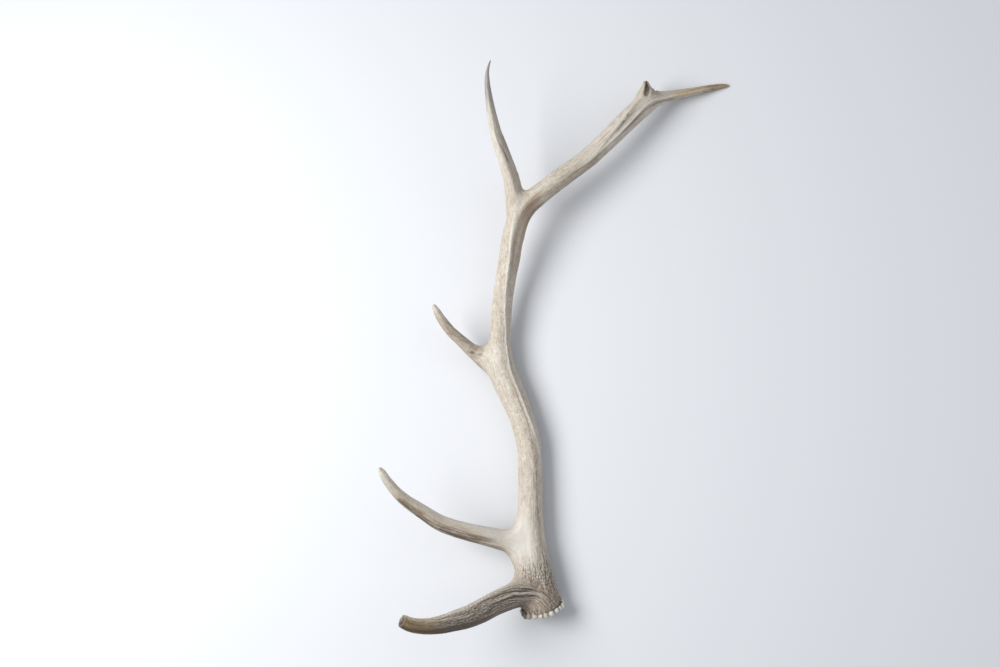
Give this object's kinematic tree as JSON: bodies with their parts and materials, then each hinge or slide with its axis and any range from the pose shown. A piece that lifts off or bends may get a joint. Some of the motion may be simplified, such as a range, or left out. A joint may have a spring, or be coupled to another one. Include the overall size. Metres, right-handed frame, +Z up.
{
  "type": "shed deer antler",
  "caption": "Naturally shed antler of a large deer, lying on its outer side: knobbly burr, long curved beam, upswept tines and a small fork at the top",
  "frame": {"origin": "on the floor, under the middle of the antler's bounding box", "axes": "+Z up from the floor it lies on; +Y runs from the burr end to the top of the beam; +X is to the side that the terminal tine points to, away from the brow, bez and trez tines"},
  "size_m": [0.5551, 0.9058, 0.2085],
  "materials": {
    "base_bone": "rough pearled antler bone, dark in the grooves and pale on the ridges",
    "dark_tine": "grooved dark brown antler bone, rubbed smooth and olive towards the tip",
    "tine_bone": "smooth weathered antler bone with fine lengthwise grain, satin at the tip",
    "beam_bone": "dry cream-grey antler bone with fine brown lengthwise grain and speckle",
    "broken_tip": "broken, dark brown weathered bone core"
  },
  "bodies": {
    "root": {"antler_base": "base_bone", "brow_tine": "dark_tine", "bez_tine": "tine_bone", "beam_lower": "beam_bone", "trez_tine": "tine_bone", "beam_middle": "beam_bone", "royal_tine": "tine_bone", "beam_upper": "beam_bone", "crown_stub": "broken_tip", "terminal_tine": "tine_bone"}
  },
  "joints": []
}
